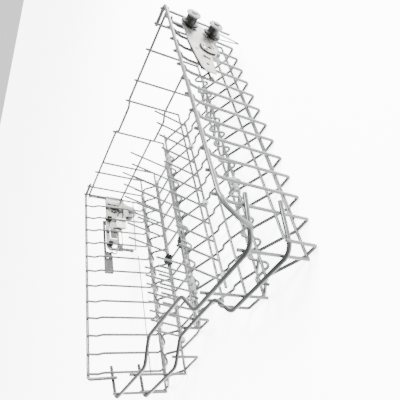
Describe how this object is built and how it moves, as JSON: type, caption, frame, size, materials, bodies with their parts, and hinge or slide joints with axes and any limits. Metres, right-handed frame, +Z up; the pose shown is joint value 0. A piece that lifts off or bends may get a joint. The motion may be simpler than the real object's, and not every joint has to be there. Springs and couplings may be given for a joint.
{
  "type": "dishwasher upper rack",
  "caption": "Wire upper rack for a dishwasher with folding tine rows, wavy glass supports, and side height adjusters on double-flanged rollers.",
  "frame": {"origin": "under the middle of the basket, at the level of its lowest wires", "axes": "+X to the right-hand wall, -Y to the pull-out front, +Z up"},
  "size_m": [0.5616, 0.4971, 0.1441],
  "materials": {
    "bracket_steel": "plain steel",
    "coated_wire": "satin silver-grey nylon coating on steel wire",
    "dark_plastic": "moulded dark grey plastic",
    "grey_plastic": "moulded mid grey plastic",
    "pale_plastic": "moulded pale plastic",
    "steel_sheet": "brushed stainless sheet"
  },
  "bodies": {
    "basket": {"rim_wire_right": "coated_wire", "rim_wire_left": "coated_wire", "front_wire_upper": "coated_wire", "front_wire_lower": "coated_wire", "wall_wires_right": "coated_wire", "wall_wires_left": "coated_wire", "floor_wires": "coated_wire", "front_cross_wire": "coated_wire", "floor_rails": "coated_wire", "front_uprights": "coated_wire", "rear_uprights": "coated_wire", "rear_rail_upper": "coated_wire", "rear_rail_lower": "coated_wire", "glass_wave_right": "coated_wire", "glass_wave_left": "coated_wire", "glass_wave_centre": "coated_wire", "side_stay_wires": "coated_wire", "clips_dark": "dark_plastic", "clips_pale": "pale_plastic", "frame_right": "steel_sheet", "frame_left": "steel_sheet", "hook_clips_right": "bracket_steel", "hook_clips_left": "bracket_steel", "guides_right": "pale_plastic", "guides_left": "pale_plastic", "guard_wire_left": "coated_wire"},
    "tine_row_right": {"right_rod": "coated_wire", "right_tines": "coated_wire"},
    "tine_row_inner_front": {"inner_front_rod": "coated_wire", "inner_front_tines": "coated_wire"},
    "tine_row_inner_rear": {"inner_rear_rod": "coated_wire", "inner_rear_tines": "coated_wire"},
    "tine_row_outer_front": {"outer_front_rod": "coated_wire", "outer_front_tines": "coated_wire"},
    "tine_row_outer_rear": {"outer_rear_rod": "coated_wire", "outer_rear_tines": "coated_wire"},
    "carriage_right": {"plate_right": "steel_sheet", "boss_right": "steel_sheet", "axles_right": "bracket_steel", "slider_right": "grey_plastic", "guard_wire_right": "coated_wire"},
    "carriage_left": {"plate_left": "steel_sheet", "axles_left": "bracket_steel", "slider_left": "grey_plastic"},
    "release_lever_left": {"lever_left": "bracket_steel", "grip_left": "grey_plastic"},
    "release_lever_right": {"lever_right": "dark_plastic"},
    "latch_left": {"pawl_left": "dark_plastic"},
    "wheel_upper_right": {"roller_upper_right": "dark_plastic"},
    "wheel_lower_right": {"roller_lower_right": "dark_plastic"},
    "wheel_upper_left": {"roller_upper_left": "dark_plastic"},
    "wheel_lower_left": {"roller_lower_left": "dark_plastic"}
  },
  "joints": [
    {"name": "fold_right", "type": "hinge", "parent": "basket", "child": "tine_row_right", "pos_m": [0.0605, 0.0105, 0.0194], "axis": [0, 1, 0], "range_deg": [0, 84]},
    {"name": "fold_inner_front", "type": "hinge", "parent": "basket", "child": "tine_row_inner_front", "pos_m": [-0.06, -0.0995, 0.0108], "axis": [0, 1, 0], "range_deg": [0, 50]},
    {"name": "fold_inner_rear", "type": "hinge", "parent": "basket", "child": "tine_row_inner_rear", "pos_m": [-0.06, 0.0905, 0.0108], "axis": [0, 1, 0], "range_deg": [0, 40]},
    {"name": "fold_outer_front", "type": "hinge", "parent": "basket", "child": "tine_row_outer_front", "pos_m": [-0.119, -0.0995, 0.009], "axis": [0, 1, 0], "range_deg": [-30, 0]},
    {"name": "fold_outer_rear", "type": "hinge", "parent": "basket", "child": "tine_row_outer_rear", "pos_m": [-0.119, 0.0905, 0.009], "axis": [0, 1, 0], "range_deg": [-38, 0]},
    {"name": "height_right", "type": "slide", "parent": "basket", "child": "carriage_right", "axis": [0, 0, 1], "range_m": [-0.044, 0]},
    {"name": "height_left", "type": "slide", "parent": "basket", "child": "carriage_left", "axis": [0, 0, 1], "range_m": [0, 0.044]},
    {"name": "release_left", "type": "hinge", "parent": "basket", "child": "release_lever_left", "pos_m": [-0.2485, 0.1625, 0.0882], "axis": [1, 0, 0], "range_deg": [0, 3]},
    {"name": "release_right", "type": "hinge", "parent": "basket", "child": "release_lever_right", "pos_m": [0.2485, 0.1625, 0.0882], "axis": [1, 0, 0], "range_deg": [0, 3]},
    {"name": "latch_swing_left", "type": "hinge", "parent": "basket", "child": "latch_left", "pos_m": [-0.2429, 0.0875, 0.0622], "axis": [1, 0, 0], "range_deg": [-12, 0]},
    {"name": "upper_roller_spin_right", "type": "hinge", "parent": "carriage_right", "child": "wheel_upper_right", "pos_m": [0.2695, 0.186, 0.1052], "axis": [1, 0, 0], "continuous": true},
    {"name": "lower_roller_spin_right", "type": "hinge", "parent": "carriage_right", "child": "wheel_lower_right", "pos_m": [0.2695, 0.175, 0.0662], "axis": [1, 0, 0], "continuous": true},
    {"name": "upper_roller_spin_left", "type": "hinge", "parent": "carriage_left", "child": "wheel_upper_left", "pos_m": [-0.2695, 0.23, 0.0612], "axis": [1, 0, 0], "continuous": true},
    {"name": "lower_roller_spin_left", "type": "hinge", "parent": "carriage_left", "child": "wheel_lower_left", "pos_m": [-0.2695, 0.219, 0.0222], "axis": [1, 0, 0], "continuous": true}
  ]
}
